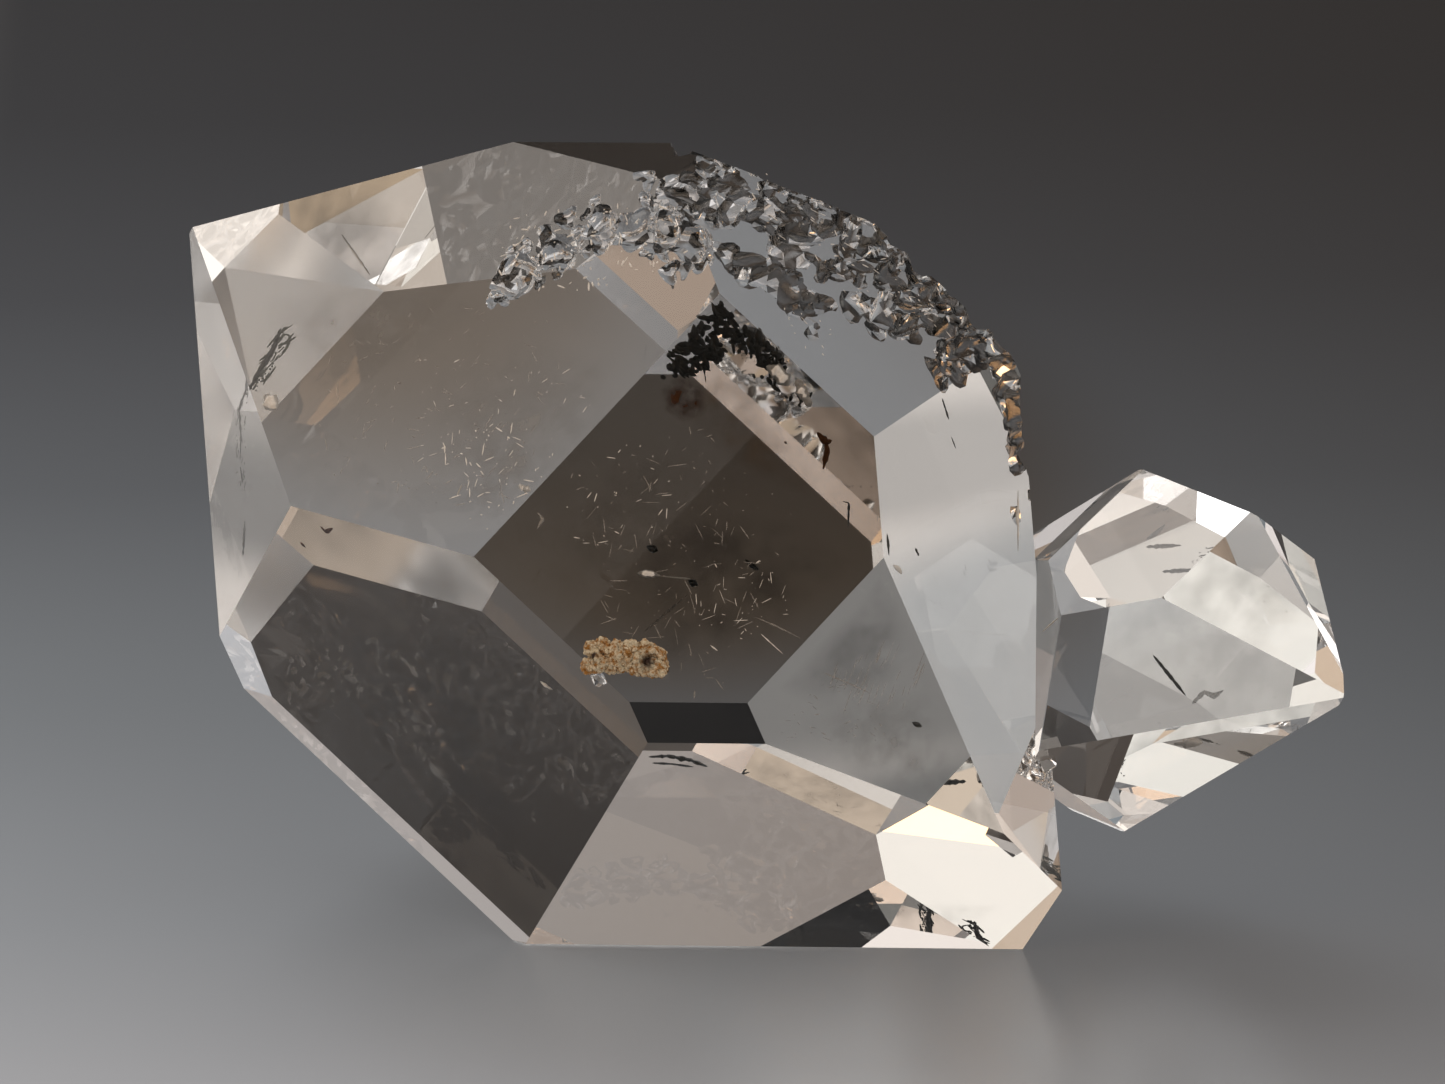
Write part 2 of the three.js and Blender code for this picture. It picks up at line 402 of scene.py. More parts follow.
@dataclass(frozen=True)
class Filling:
    """What fills a crack or a hollow of the quartz, and the veils of painted light and shade,
    each mottled between two colours.
    """

    name: str
    dark: str
    light: str
    roughness: float
    grain: float = 0.06 * MM
    cover: float = 1.0
    soft: bool = False  # whether it fades out as its mesh's "fade" does
    patchy: float = 1.0  # how far its thin places are from its cover

    def build(self) -> Material:
        """Makes the material.

        Returns:
            The material.
        """
        material, tree = new_material(self.name)
        where = tree.add("TexCoord").outputs["Object"]
        mottle = tree.add("TexNoise", {"Vector": where, "Scale": 1 / self.grain, "Detail": 2.0})
        colour = tree.add("Mix", {0: mottle, 6: linear(self.dark), 7: linear(self.light)},
                          data_type="RGBA")
        cover = self.cover
        if self.soft:
            fade = tree.add("Attribute", attribute_name="fade").outputs["Fac"]
            thick = tree.add("MapRange", {
                0: mottle, 1: NOISE[0], 2: NOISE[1], 3: self.cover * (1 - self.patchy),
                4: self.cover})
            cover = tree.add("Math", {0: fade, 1: thick}, operation="MULTIPLY")
        surface = tree.add("BsdfPrincipled", {
            "Base Color": colour, "Roughness": self.roughness, "Alpha": cover})
        tree.add("OutputMaterial", {"Surface": surface})
        return material


# Anthraxolite is a black hydrocarbon with a pitchy shine, which such quartz often holds.
ANTHRAXOLITE = Filling("anthraxolite", "#0d0c0a", "#2b2c24", 0.35)
# Finely spread through a veil it looks greenish.
GREEN_VEIL = Filling("green_veil", "#1f221c", "#7c8176", 0.6, 0.05 * MM)
# Iron-stained clay is dull and brown.
IRON_CLAY = Filling("iron_clay", "#4a2a10", "#8a5526", 0.8)
# A skin of clay inside the crystal only tints what is behind it.
CLAY_SKIN = Filling("clay_skin", "#a8763f", "#dfb37c", 0.8, 0.5 * MM, 0.6, True, 0.8)
RUST_STAIN = Filling("rust_stain", "#5c3210", "#94551f", 0.8, 0.25 * MM, 1.3, True)
# A healed crack and a scratch are full of tiny mirrors, so they look like frosted glass. The
# same white flecks, spread over the rough zone, are painted glints.
HEALED_CRACK_AND_PAINTED_GLINTS = Filling("healed_crack", "#bdb5ab", "#fffaf2", 0.4, cover=0.8)
# A crack seen at a slant only greys what is behind it.
FAINT_CRACK = Filling("faint_crack", "#8f8880", "#d8d0c6", 0.5, cover=0.4)
# A pale veil is painted light, a soft cloud, and a dark veil is painted shade.
PAINTED_LIGHT_VEIL = Filling("bubble_veil", "#c0b8ae", "#efe8de", 0.6, 0.45 * MM, 0.42, True)
PAINTED_SHADE_VEIL = Filling("dark_veil", "#1d1b1a", "#3c3733", 0.6, 0.8 * MM, 0.55, True)


# The crystals


@dataclass(frozen=True)
class CrystalForm:
    """One crystal's attitude and the distance of each face from its middle, by sector.

    The attitude is the compass heading of the c axis, how far it points below the horizon,
    and the turn of sector 0 round it, in degrees. Near is the end that the axis points to.
    The middle and the distances are in millimetres.
    """

    heading: float
    plunge: float
    turn: float
    middle: tuple[float, float, float]
    prism: tuple[float, ...]
    near: tuple[float, ...]
    far: tuple[float, ...]
    bevel: tuple[float, ...] = ()

    SECTORS = 6
    SECTOR = 60  # degrees
    PRISM_TILT = 90.0
    PYRAMID_TILT = 51.79
    BEVEL_TILT = 65.56
    BLOCK = 60 * MM
    CUT_PRECISION = 1e-9

    def planes(self) -> dict[str, Plane]:
        """Works out every face.

        Returns:
            Each face's plane by name.
        """
        h, p = radians(self.heading), radians(self.plunge)
        c = Vector((cos(h) * cos(p), sin(h) * cos(p), -sin(p)))
        up = Vector((cos(h) * sin(p), sin(h) * sin(p), cos(p)))
        third = c.cross(up)
        middle = Vector(self.middle) * MM
        faces = [
            (f"{name}{k}", k * self.SECTOR, tilt, end, reaches[k]) for k in range(self.SECTORS)
            for name, tilt, end, reaches in (
                ("prism", self.PRISM_TILT, 1, self.prism),
                ("near", self.PYRAMID_TILT, 1, self.near),
                ("far", self.PYRAMID_TILT, -1, self.far))]
        faces += [(f"bevel{k}", (k + 0.5) * self.SECTOR, self.BEVEL_TILT, 1, reach)
                  for k, reach in enumerate(self.bevel)]
        found = {}
        for name, sector, tilt, end, reach in faces:
            a, t = radians(sector + self.turn), radians(tilt)
            outward = up * cos(a) + third * sin(a)
            normal = outward * sin(t) + c * end * cos(t)
            found[name] = (normal, middle + normal * reach * MM)
        return found

    def body(self, worn: Iterable[Plane] = ()) -> BMesh:
        """Cuts the crystal from a block, one face at a time.

        Args:
            worn: Further planes that take corners off it.

        Returns:
            The closed crystal.
        """
        block = bmesh.new()
        bmesh.ops.create_cube(block, size=self.BLOCK)
        for normal, point in (*self.planes().values(), *worn):
            cut = bmesh.ops.bisect_plane(
                block, geom=[*block.verts, *block.edges, *block.faces], plane_co=point,
                plane_no=normal, clear_outer=True, dist=self.CUT_PRECISION)
            edges = [e for e in cut["geom_cut"] if isinstance(e, BMEdge)]
            if edges:
                bmesh.ops.contextual_create(block, geom=edges)
        bmesh.ops.remove_doubles(block, verts=block.verts, dist=SAME_CORNER)
        bmesh.ops.recalc_face_normals(block, faces=block.faces)
        return block


MAIN = CrystalForm(
    heading=-24.6, plunge=38.21, turn=60, middle=(-2.1601, 0.0512, 8.12),
    prism=(7.14, 6.07, 7.73, 7.14, 6.07, 7.23), near=(8.44, 6.99, 8.12, 8.38, 6.67, 7.41),
    far=(6.47, 7.98, 8.68, 8.87, 5.99, 8.02), bevel=(8.12,))
SIDE = CrystalForm(
    heading=-41.4, plunge=7.5, turn=84.3, middle=(7.2299, -1.4488, 6.16),
    prism=(3.02, 3.21, 4.1, 3.02, 3.21, 2.57), near=(2.75, 2.69, 3.25, 3.65, 3.91, 3.32),
    far=(2.01, 3.3, 4.59, 4.12, 3.11, 2.45))
KNOB = CrystalForm(
    heading=-41.4, plunge=7.5, turn=84.3, middle=(5.60, -3.60, 4.32),
    prism=(0.23, 0.21, 0.25, 0.22, 0.24, 0.21), near=(0.17, 0.20, 0.15, 0.19, 0.16, 0.21),
    far=(0.18, 0.16, 0.20, 0.17, 0.21, 0.16))

FRONT, LEFT, UPPER, RIGHT, LOWER, BACK, FLANK, FOOT = (
    "main prism0", "main far1", "main far0", "main near5", "main near0", "main prism5",
    "main prism1", "main near1")


def face_plane(name: str) -> Plane:
    """Looks up the plane of a face such as "main near2"."""
    crystal, face = name.split()
    return {"main": MAIN, "side": SIDE}[crystal].planes()[face]


def bead(at: Pixel = (599.5, 680), stand_off: float = 0.05 * MM) -> CrystalForm:
    """Forms the bead-like crystal that hangs from the crumb's lower end.

    Args:
        at: The pixel of its middle.
        stand_off: How far the middle is off the prism face.

    Returns:
        Its form.
    """
    plane = face_plane(FRONT)
    middle = (VIEW.place(at, plane) + plane[0] * stand_off) / MM
    return CrystalForm(
        heading=20, plunge=30, turn=10, middle=tuple(middle),
        prism=(0.13,) * 6, near=(0.12,) * 6, far=(0.13,) * 6)


class Wear(Enum):
    """How far the wall of the pocket kept a stretch of edge from growing, in millimetres."""

    NONE = 0.0
    LIGHT = 0.12
    BLUNT = 0.50


@dataclass(frozen=True)
class Scar:
    """A stretch of the rough zone: an edge of the main crystal, or part of one.

    The share is how much of the edge is rough, from its upper end.
    """

    one: str
    other: str
    wear: Wear
    share: float = 1.0

    def ends(self) -> tuple[Vector, Vector]:
        """Finds the stretch.

        Returns:
            Its upper and lower end.
        """
        planes = [MAIN.planes()[name] for name in (self.one, self.other)]
        body = MAIN.body()
        on = [v.co.copy() for v in body.verts if all(
            abs((v.co - point).dot(normal)) < NEAR_PLANE for normal, point in planes)]
        body.free()
        top, foot = sorted(on, key=lambda place: -place.z)[:2]
        return top, top.lerp(foot, self.share)


@dataclass
class RoughZone:
    """The band of small dents where the crystal grew against the wall of its pocket.

    It follows a chain of edges, and crosses one face. Each face carries it so many
    millimetres in from there, and grain is the size of its dents beside the others'.
    """

    width: dict[str, float] = field(default_factory=lambda: {
        "far5": 0.3, "prism4": 0.3, "far4": 0.3, "prism5": 4.0, "far0": 1.05, "near5": 0.9,
        "near4": 0.3})
    worn_width: float = 9.0  # on the worn planes, so all over them
    chain: tuple[Scar, ...] = (
        Scar("prism5", "far5", Wear.LIGHT), Scar("far4", "prism5", Wear.BLUNT),
        Scar("prism4", "prism5", Wear.LIGHT), Scar("near5", "prism4", Wear.LIGHT),
        Scar("near5", "near4", Wear.NONE, 0.26))
    crossing_px: Path = ((515, 275), (600, 225), (690, 235))
    grain: dict[str, float] = field(default_factory=lambda: {"far0": 0.55})
    spacing: float = 0.30 * MM
    density: float = 6.0e7
    dent: tuple[float, float] = (0.28 * MM, 0.62 * MM)
    lift: tuple[float, float] = (0.55, 0.88)  # a dent's middle over the face, in its radii
    stretch: tuple[float, float] = (1.1, 2.0)  # along the chain
    swing: float = 0.6  # out of line with the chain, in radians
    bite: tuple[float, float] = (0.28 * MM, 0.52 * MM)
    bitten: dict[str, float] = field(default_factory=lambda: {"near5": 0.35})
    bite_step: float = 0.70 * MM
    raggedness: float = 0.8 * MM  # size of the waves of the band's edge
    least_width: float = 0.6  # of the full one
    isle: float = 0.9 * MM
    isle_limit: float = 0.56  # of the noise, over which there are no dents
    isle_layout: float = 3.0  # another one lays the isles out anew
    lump_waves: float = 1.1  # across a dent's radius
    lump_noise: tuple[float, float] = (0.25, 0.75)
    lump_swell: tuple[float, float] = (0.7, 1.3)
    seed: int = 5

    def worn_planes(self) -> list[Plane]:
        """Finds the planes that blunt the chain's edges.

        Returns:
            The planes.
        """
        planes = MAIN.planes()
        return [
            (normal, scar.ends()[0] - normal * scar.wear.value * MM)
            for scar in self.chain if scar.wear is not Wear.NONE
            for normal in [(planes[scar.one][0] + planes[scar.other][0]).normalized()]]

    def lines(self) -> list[tuple[Vector, Vector]]:
        """Finds the straight stretches that the zone follows, each by its ends."""
        across = [VIEW.place(pixel, face_plane(UPPER)) for pixel in self.crossing_px]
        return [scar.ends() for scar in self.chain] + list(zip(across, across[1:]))


@dataclass
class Crystals:
    """The clear body: the crystals with their rough contact zone."""

    node: str = "quartz_crystals"
    piece: str = "quartz"
    zone: RoughZone = field(default_factory=RoughZone)
    # Painted shade: how dark each of these plain faces is tinted
    film: dict[str, float] = field(default_factory=lambda: {
        "bevel0": 1.0, "far5": 1.0, "prism0": 0.48, "prism5": 0.2})  # on plain faces
    frost: dict[str, float] = field(default_factory=lambda: {
        "far3": 0.20, "near2": 0.10})  # roughness of frosted faces
    full_tint: float = 1.0
    faint_tint: float = 0.1
    tint_patch: float = 0.30 * MM
    tint_limits: tuple[float, float] = (0.16, -0.14)  # of the noise, by the upper face or not
    tint_slope: float = -0.05  # how the second falls to the right, a millimetre
    upper_depth: float = 0.6 * MM  # how far under the upper face its dents reach
    crease: float = 55.0  # degrees, over which the edge between two dents is sharp
    same_way: float = 0.9995  # cosine of the angle between a facet and its plane
    same_plane: float = 2e-6

    def build(self, finish: ClearQuartz) -> Object:
        """Cuts the crystals, dents their rough zone, joins them and dresses them.

        Args:
            finish: The clear quartz finish.

        Returns:
            The finished piece.
        """
        main = self.to_object("main_crystal", MAIN.body(self.zone.worn_planes()), MAIN)
        others = {
            "Side Crystal": self.to_object("side_crystal", SIDE.body(), SIDE),
            "Knob": self.to_object("knob_crystal", KNOB.body(), KNOB),
            "Bead": self.to_object("bead_crystal", bead().body(), KNOB)}
        chain = self.chain_object()
        piece = self.join(main, others, chain, finish.build())
        for part in (*others.values(), chain):
            bpy.data.objects.remove(part)
        self.shade(piece.data)
        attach(piece, "root")
        piece.visible_diffuse = False
        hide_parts(self.node)
        return piece

    def to_object(self, name: str, body: BMesh, form: CrystalForm) -> Object:
        """Makes an object of a crystal, with the width of the rough band on each face.

        Args:
            name: The object's name.
            body: The crystal, which is freed.
            form: The form that names its faces.

        Returns:
            The object.
        """
        planes = form.planes()
        widths = body.faces.layers.float.new("rough_width")
        grains = body.faces.layers.float.new("rough_grain")
        for face in body.faces:
            name_of = max(planes, key=lambda n: planes[n][0].dot(face.normal))
            plain = planes[name_of][0].dot(face.normal) > self.same_way
            width = self.zone.width.get(name_of, 0.0) if plain else self.zone.worn_width
            face[widths] = width * MM
            face[grains] = self.zone.grain.get(name_of, 1.0)
        mesh = bpy.data.meshes.new(name)
        body.to_mesh(mesh)
        body.free()
        return show(mesh)

    def chain_object(self) -> Object:
        """Makes the lines that the rough zone follows, with how deep they are bitten.

        Returns:
            The lines as one object.
        """
        zone = self.zone
        points = [end for line in zone.lines() for end in line]
        bitten = [zone.bitten.get(scar.one, 1.0) for scar in zone.chain for _ in range(2)]
        bitten += [1.0] * (len(points) - len(bitten))
        edges = [(i, i + 1) for i in range(0, len(points), 2)]
        return draw("chain", points, edges, [], bitten=bitten)

    def join(
        self, main: Object, others: dict[str, Object], chain: Object, material: Material
    ) -> Object:
        """Runs the tree that dents the main crystal and joins the other crystals to it.

        Args:
            main: The main crystal, which is used up.
            others: The other crystals, by the name of their input.
            chain: The chain of edges.
            material: The clear quartz.

        Returns:
            The joined piece.
        """
        zone = self.zone
        tree = ShapeTree("rough_contact_zone", {
            **others, "Chain": chain, "Spacing": zone.spacing, "Dent": zone.dent,
            "Lift": zone.lift, "Stretch": zone.stretch, "Bite": zone.bite,
            "Bite Step": zone.bite_step, "Seed": zone.seed})
        given, ends = tree.given, tree.ends
        width, grain, bitten = (
            tree.add("InputNamedAttribute", {"Name": name}, data_type="FLOAT")
            for name in ("rough_width", "rough_grain", "bitten"))
        dent, lift, stretch, roll, bite, swing = (
            tree.add("RandomValue", {2: low, 3: high, "Seed": seed}, data_type="FLOAT")
            for seed, (low, high) in (
                (3, ends["Dent"]), (4, ends["Lift"]), (5, ends["Stretch"]),
                (6, (0.0, FULL_TURN)), (7, ends["Bite"]), (8, (-zone.swing, zone.swing))))
        line = tree.add("ObjectInfo", {0: given["Chain"]}).outputs["Geometry"]
        steps = tree.add("ResampleCurve", {
            0: tree.add("MeshToCurve", {0: line}), "Length": given["Bite Step"]}, mode="LENGTH")

        # Points all over the crystal, of which those in the band and on its isles stay
        points = spread = tree.add("DistributePointsOnFaces", {
            "Mesh": given["Geometry"], "Distance Min": given["Spacing"],
            "Density Max": zone.density, "Seed": given["Seed"]}, distribute_method="POISSON")
        distance = tree.add("Proximity", {0: line}, target_element="EDGES").outputs["Distance"]
        ragged = tree.add("TexNoise", {"Scale": 1 / zone.raggedness, "Detail": 1.0})
        share = tree.add("MapRange", {
            0: ragged, 1: NOISE[0], 2: NOISE[1], 3: zone.least_width, 4: 1.0})
        limit = tree.add("Math", {0: width, 1: share}, operation="MULTIPLY")
        isles = tree.add("TexNoise", {
            "W": zone.isle_layout, "Scale": 1 / zone.isle, "Detail": 0.0},
            noise_dimensions="4D")
        for value, most in ((distance, limit), (isles, zone.isle_limit)):
            over = tree.add("Compare", {0: value, 1: most}, data_type="FLOAT",
                            operation="GREATER_THAN")
            points = tree.add("DeleteGeometry", {0: points, 1: over}, domain="POINT")

        # Each dent is a lump over the face, turned along the nearest stretch of the chain
        size = tree.add("Math", {0: dent, 1: grain}, operation="MULTIPLY")
        height = tree.add("Math", {0: size, 1: lift}, operation="MULTIPLY")
        offset = tree.add("VectorMath", {0: spread.outputs["Normal"], "Scale": height},
                          operation="SCALE")
        raised = tree.add("SetPosition", {0: points, "Offset": offset})
        nearest = tree.add("SampleNearest", {0: steps}, domain="POINT")
        run = tree.add("SampleIndex", {0: steps, 1: tree.add("InputTangent"), 2: nearest},
                       data_type="FLOAT_VECTOR", domain="POINT")
        along = tree.add("AlignRotationToVector", {"Vector": run}, axis="X")
        for axis, angle in (((0.0, 0.0, 1.0), swing), ((1.0, 0.0, 0.0), roll)):
            turn = tree.add("AxisAngleToRotation", {"Axis": axis, "Angle": angle})
            along = tree.add("RotateRotation", {0: along, 1: turn}, rotation_space="LOCAL")
        length = tree.add("Math", {0: size, 1: stretch}, operation="MULTIPLY")
        depth = tree.add("Math", {0: bite, 1: bitten}, operation="MULTIPLY")
        lump = self.lump(tree)
        dents, bites = (
            tree.add("InstanceOnPoints", {
                "Points": places, "Instance": lump, "Rotation": along,
                "Scale": tree.add("CombineXYZ", dict(enumerate(sizes)))})
            for places, sizes in ((raised, (length, size, size)), (steps, (depth,) * 3)))

        dented = tree.add("MeshBoolean", {0: given["Geometry"], 1: [dents, bites]},
                          operation="DIFFERENCE", solver="MANIFOLD")
        grown = [tree.add("ObjectInfo", {0: given[label]}).outputs["Geometry"]
                 for label in others]
        joined = tree.add("MeshBoolean", {1: [dented, *grown]}, operation="UNION",
                          solver="MANIFOLD")
        return tree.finish(joined, main, self.piece, material)

    def lump(self, tree: ShapeTree) -> Node:
        """Adds a ball pushed out of round, which cuts a dent.

        Args:
            tree: The tree that it is for.

        Returns:
            The node that gives the lump.
        """
        zone = self.zone
        ball = tree.add("MeshIcoSphere", {"Radius": 1.0, "Subdivisions": 3})
        where = tree.add("InputPosition")
        waves = tree.add("TexNoise", {"Vector": where, "Scale": zone.lump_waves, "Detail": 0.0})
        ends = dict(enumerate((waves, *zone.lump_noise, *zone.lump_swell)))
        swell = tree.add("MapRange", ends, clamp=False)
        pushed = tree.add("VectorMath", {0: where, "Scale": swell}, operation="SCALE")
        return tree.add("SetPosition", {0: ball, "Position": pushed})

    def shade(self, mesh: Mesh) -> None:
        """Leaves faces flat and dents smooth, and marks where the painted shade tint and the
        frost are.

        Args:
            mesh: The joined crystals.
        """
        planes = [p for form in (MAIN, SIDE, KNOB, bead()) for p in form.planes().values()]
        upper_normal, upper_point = face_plane(UPPER)
        treated = {name: MAIN.planes()[name] for name in (*self.film, *self.frost)}
        body = bmesh.new()
        body.from_mesh(mesh)
        film = body.faces.layers.float.new("film")
        frost = body.faces.layers.float.new("frost")
        for face in body.faces:
            middle = face.calc_center_median()
            face.smooth = not any(
                normal.dot(face.normal) > self.same_way
                and abs((middle - point).dot(normal)) < self.same_plane
                for normal, point in planes)
            if face.smooth:
                # Painted shade: dents are tinted dark in noisy patches, and the others stay
                # nearly clear
                by_upper, elsewhere = self.tint_limits
                if (middle - upper_point).dot(upper_normal) <= -self.upper_depth:
                    by_upper = elsewhere + self.tint_slope * max(middle.x / MM, 0)
                dark = noise.noise(middle / self.tint_patch) > by_upper
                face[film] = self.full_tint if dark else self.faint_tint
                continue
            for name, (normal, point) in treated.items():
                if abs((middle - point).dot(normal)) < self.same_plane:
                    face[film] = self.film.get(name, 0.0)
                    face[frost] = self.frost.get(name, 0.0)
        for edge in body.edges:
            if len(edge.link_faces) == 2:
                both = all(face.smooth for face in edge.link_faces)
                edge.smooth = both and edge.calc_face_angle(0.0) < radians(self.crease)
        body.to_mesh(mesh)
        body.free()


@dataclass
class Crumb:
    """The crumb of matrix on the front prism face, a lump with grains all over it."""

    node: str = "matrix_crumb"
    spacing: float = 0.05 * MM
    density: float = 3.0e9
    grain: tuple[float, float] = (0.022 * MM, 0.062 * MM)
    grain_shape: tuple[float, float] = (0.6, 1.4)  # how far it is stretched each way
    fill_px: Path = ((612, 662), (625, 662), (638, 666), (660, 667), (592, 649), (603, 646))
    fill: float = 0.15 * MM
    base_px: tuple[Pixel, Pixel] = ((575, 671), (670, 675))  # its lower edge
    squared: float = 0.8  # how far what is below that edge is pushed back to it
    seed: int = 2

    def build(self, finish: DolomiteMatrix) -> Object:
        """Covers the lump with grains and dresses it.

        Args:
            finish: The matrix finish.

        Returns:
            The finished piece.
        """
        tree = ShapeTree("crumb_grains", {
            "Spacing": self.spacing, "Grain": self.grain, "Seed": self.seed})
        given = tree.given
        points = tree.add("DistributePointsOnFaces", {
            "Mesh": given["Geometry"], "Distance Min": given["Spacing"],
            "Density Max": self.density, "Seed": given["Seed"]}, distribute_method="POISSON")
        grain = tree.add("MeshIcoSphere", {"Radius": 1.0, "Subdivisions": 1})
        stretch, turn = (
            tree.add("RandomValue", {0: (low,) * 3, 1: (high,) * 3, "Seed": seed},
                     data_type="FLOAT_VECTOR")
            for seed, (low, high) in ((1, self.grain_shape), (2, (0.0, FULL_TURN))))
        low, high = tree.ends["Grain"]
        size = tree.add("RandomValue", {2: low, 3: high, "Seed": 3}, data_type="FLOAT")
        grains = tree.add("InstanceOnPoints", {
            "Points": points, "Instance": grain, "Rotation": turn,
            "Scale": tree.add("VectorMath", {0: stretch, "Scale": size}, operation="SCALE")})
        both = tree.add("JoinGeometry", {0: [given["Geometry"], grains]})
        piece = tree.finish(both, self.lump(), "crumb", finish.build())
        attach(piece, "root")
        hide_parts(self.node)
        return piece

    def lump(self) -> Object:
        """Fills out a copy of the frame's crumb and squares off its lower edge.

        Returns:
            The lump.
        """
        face = face_plane(FRONT)
        body = bmesh.new()
        body.from_mesh(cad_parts[self.node].data)
        bmesh.ops.remove_doubles(body, verts=body.verts, dist=SAME_CORNER)
        for pixel in self.fill_px:
            bmesh.ops.create_icosphere(
                body, subdivisions=2, radius=self.fill,
                matrix=Matrix.Translation(VIEW.place(pixel, face)))
        left, right = (VIEW.place(pixel, face) for pixel in self.base_px)
        up = (right - left).cross(VIEW.ray(self.base_px[0])[1]).normalized()
        up *= 1 if up.z > 0 else -1
        for vertex in body.verts:
            below = (vertex.co - left).dot(up)
            if below < 0:
                vertex.co -= up * below * self.squared
        mesh = bpy.data.meshes.new("crumb_core")
        body.to_mesh(mesh)
        body.free()
        return show(mesh)


# The marks in and on the quartz, among them painted light, shade and glints


@dataclass(frozen=True)
class Thread:
    """A streak, needle or scratch that shows along a line of picture pixels.

    It is so far under a face of the quartz, or on it, and so wide, in millimetres.
    """

    face: str
    path_px: Path
    width: float
    depth: float = 0.0


@dataclass(frozen=True)
class Flecks:
    """A field of short flecks inside an outline of picture pixels, on a face or under it.

    They lie along a direction in the picture, give or take the spread in degrees. Lengths,
    widths and depth are in millimetres.
    """

    face: str
    path_px: Path
    count: int
    length: tuple[float, float]
    width: float
    direction_px: Pixel
    spread: float
    depth: float = 0.0


@dataclass(frozen=True)
class Blot:
    """A soft-edged patch inside an outline of picture pixels, so far under a face (mm)."""

    face: str
    path_px: Path
    depth: float


